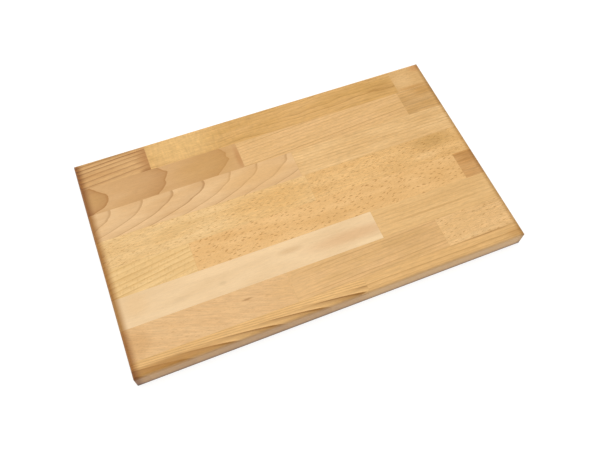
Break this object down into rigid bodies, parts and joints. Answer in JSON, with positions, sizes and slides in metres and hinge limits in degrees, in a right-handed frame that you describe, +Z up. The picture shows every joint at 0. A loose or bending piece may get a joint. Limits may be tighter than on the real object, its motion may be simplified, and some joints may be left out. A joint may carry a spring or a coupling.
{
  "type": "cutting board",
  "caption": "Rectangular butcher-block cutting board of edge-glued, finger-jointed beech staves with rounded-over edges on both faces.",
  "frame": {"origin": "middle of the underside, on the surface that the board lies on", "axes": "+X along the staves, +Y across them to the back edge, +Z up through the cutting face"},
  "size_m": [0.5, 0.3, 0.028],
  "materials": {
    "beech_cream": "sanded and oiled",
    "beech_golden": "sanded and oiled",
    "beech_rosy": "sanded and oiled",
    "beech_tan": "sanded and oiled",
    "wood_glue": "cured, cut flush with the wood"
  },
  "bodies": {
    "root": {"glue_line_1_2": "wood_glue", "glue_line_2_3": "wood_glue", "glue_line_3_4": "wood_glue", "glue_line_4_5": "wood_glue", "glue_line_5_6": "wood_glue", "glue_line_6_7": "wood_glue", "glue_line_7_8": "wood_glue", "row_1_left_finger_glue": "wood_glue", "row_1_left_stave": "beech_tan", "row_1_middle_stave": "beech_golden", "row_1_right_finger_glue": "wood_glue", "row_1_right_stave": "beech_golden", "row_2_left_finger_glue": "wood_glue", "row_2_left_stave": "beech_tan", "row_2_middle_stave": "beech_rosy", "row_2_right_finger_glue": "wood_glue", "row_2_right_stave": "beech_tan", "row_3_left_finger_glue": "wood_glue", "row_3_left_stave": "beech_rosy", "row_3_right_stave": "beech_golden", "row_4_left_finger_glue": "wood_glue", "row_4_left_stave": "beech_golden", "row_4_right_stave": "beech_golden", "row_5_left_finger_glue": "wood_glue", "row_5_left_stave": "beech_golden", "row_5_middle_stave": "beech_golden", "row_5_right_finger_glue": "wood_glue", "row_5_right_stave": "beech_tan", "row_6_left_finger_glue": "wood_glue", "row_6_left_stave": "beech_cream", "row_6_right_stave": "beech_golden", "row_7_left_finger_glue": "wood_glue", "row_7_left_stave": "beech_rosy", "row_7_middle_stave": "beech_golden", "row_7_right_finger_glue": "wood_glue", "row_7_right_stave": "beech_golden", "row_8_left_finger_glue": "wood_glue", "row_8_left_stave": "beech_golden", "row_8_right_stave": "beech_golden"}
  },
  "joints": []
}
